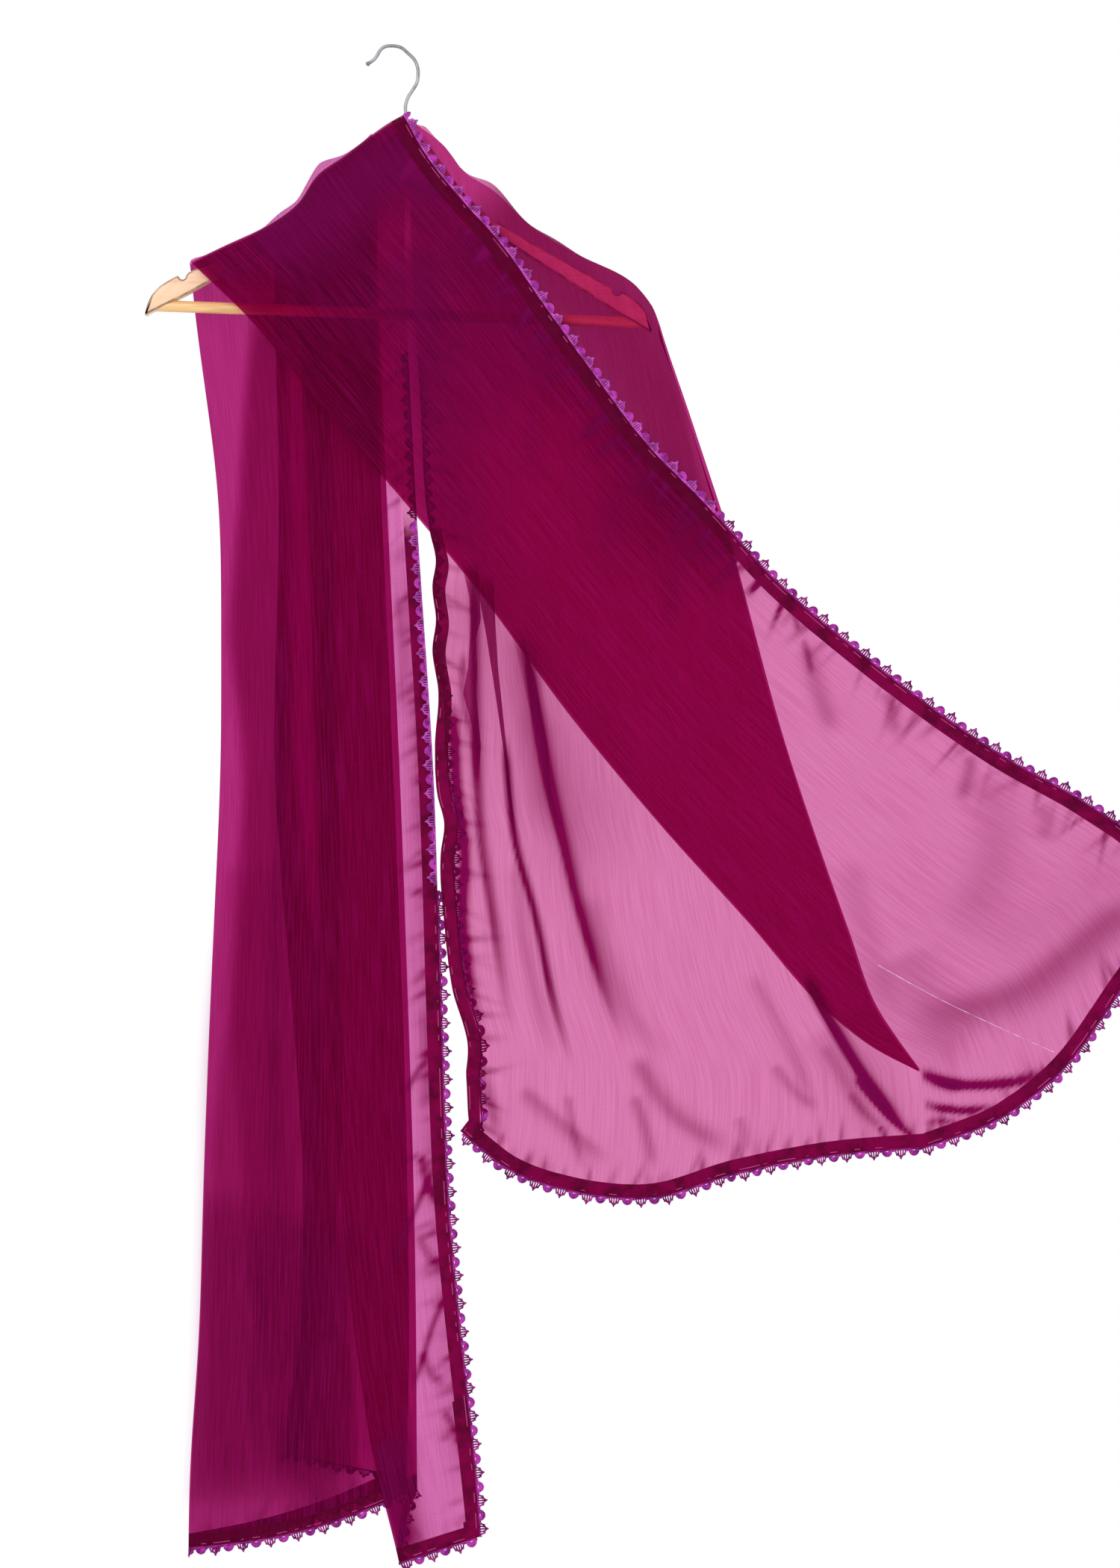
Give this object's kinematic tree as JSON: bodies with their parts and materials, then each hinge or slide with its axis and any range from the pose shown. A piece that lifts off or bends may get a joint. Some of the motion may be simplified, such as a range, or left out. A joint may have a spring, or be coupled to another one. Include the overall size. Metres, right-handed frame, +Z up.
{
  "type": "dupatta stole on a hanger",
  "caption": "Sheer chiffon dupatta stole with scalloped lace edging, draped over a wooden hanger: one end hangs in pleats, the other swings out to the side.",
  "frame": {"origin": "inside top of the hanger's hook, where a rod or nail carries it", "axes": "+Z up, +Y away from the viewer to the back, +X to the viewer's right, towards the swung end of the cloth"},
  "size_m": [0.9084, 0.042, 1.3242],
  "materials": {
    "chiffon": "sheer crinkled polyester chiffon, magenta, darker where layers lie over each other",
    "lace": "violet thread lace with fan and pointed dome scallops",
    "pale_wood": "pale varnished hardwood",
    "bar_wood": "golden varnished dowel",
    "chrome": "polished chrome wire"
  },
  "bodies": {
    "root": {"fall_right": "chiffon", "fall_right_middle": "chiffon", "fall_left": "chiffon", "lace_front_edge": "lace", "lace_right_end": "lace", "lace_back_edge": "lace", "lace_left_turned": "lace", "lace_left_edge": "lace", "lace_left_end": "lace", "hanger_arm_left": "pale_wood", "hanger_arm_right": "pale_wood", "hanger_bar": "bar_wood", "hanger_hook": "chrome"}
  },
  "joints": []
}
